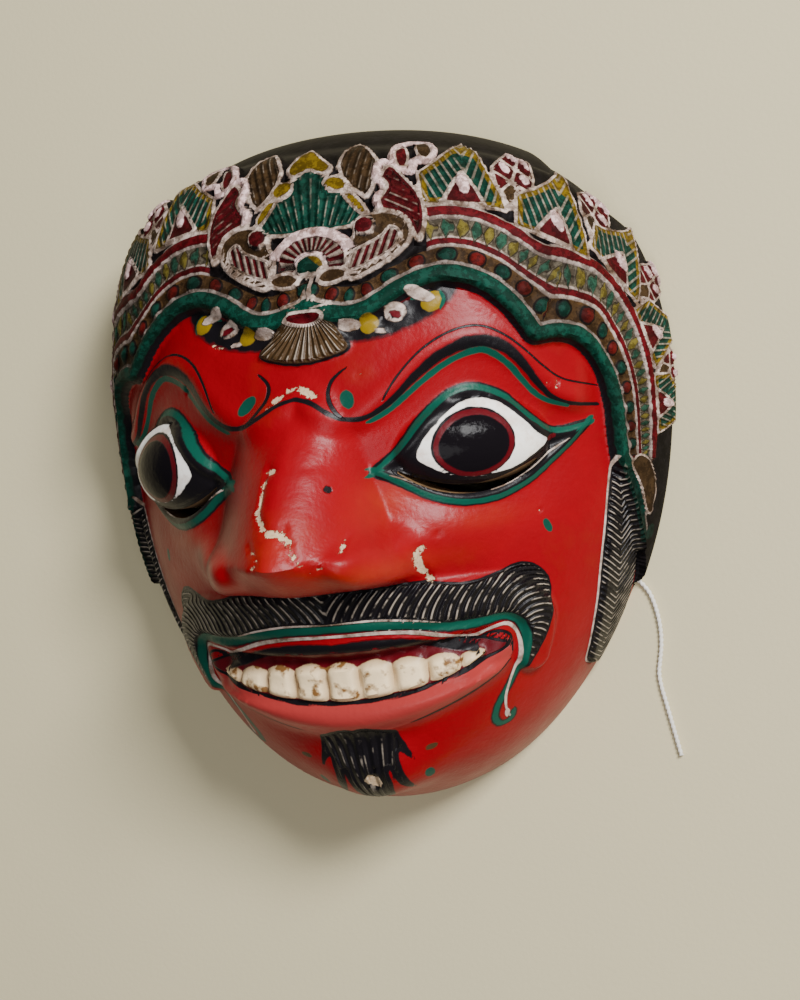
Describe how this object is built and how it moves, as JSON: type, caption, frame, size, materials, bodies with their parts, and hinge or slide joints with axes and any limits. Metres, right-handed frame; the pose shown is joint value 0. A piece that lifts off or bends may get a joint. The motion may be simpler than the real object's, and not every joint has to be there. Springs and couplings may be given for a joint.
{
  "type": "topeng mask",
  "caption": "Carved and painted wooden dance mask: bulging eyes, long nose, moustache, bared teeth and a carved crown, with a hollow back and a cotton tie string.",
  "frame": {"origin": "middle of the mask seen from above, at the level of the rim it lies on", "axes": "+Z out of the face, +Y towards the top of the crown, +X towards the viewer's right"},
  "size_m": [0.1734, 0.1973, 0.0972],
  "materials": {
    "painted_wood": "glossy paint over carved softwood, worn at the edges",
    "cotton_string": "twisted white cotton"
  },
  "bodies": {
    "root": {"mask": "painted_wood", "tie_neck": "cotton_string", "tie_knot": "cotton_string", "tie_tail": "cotton_string"}
  },
  "joints": []
}
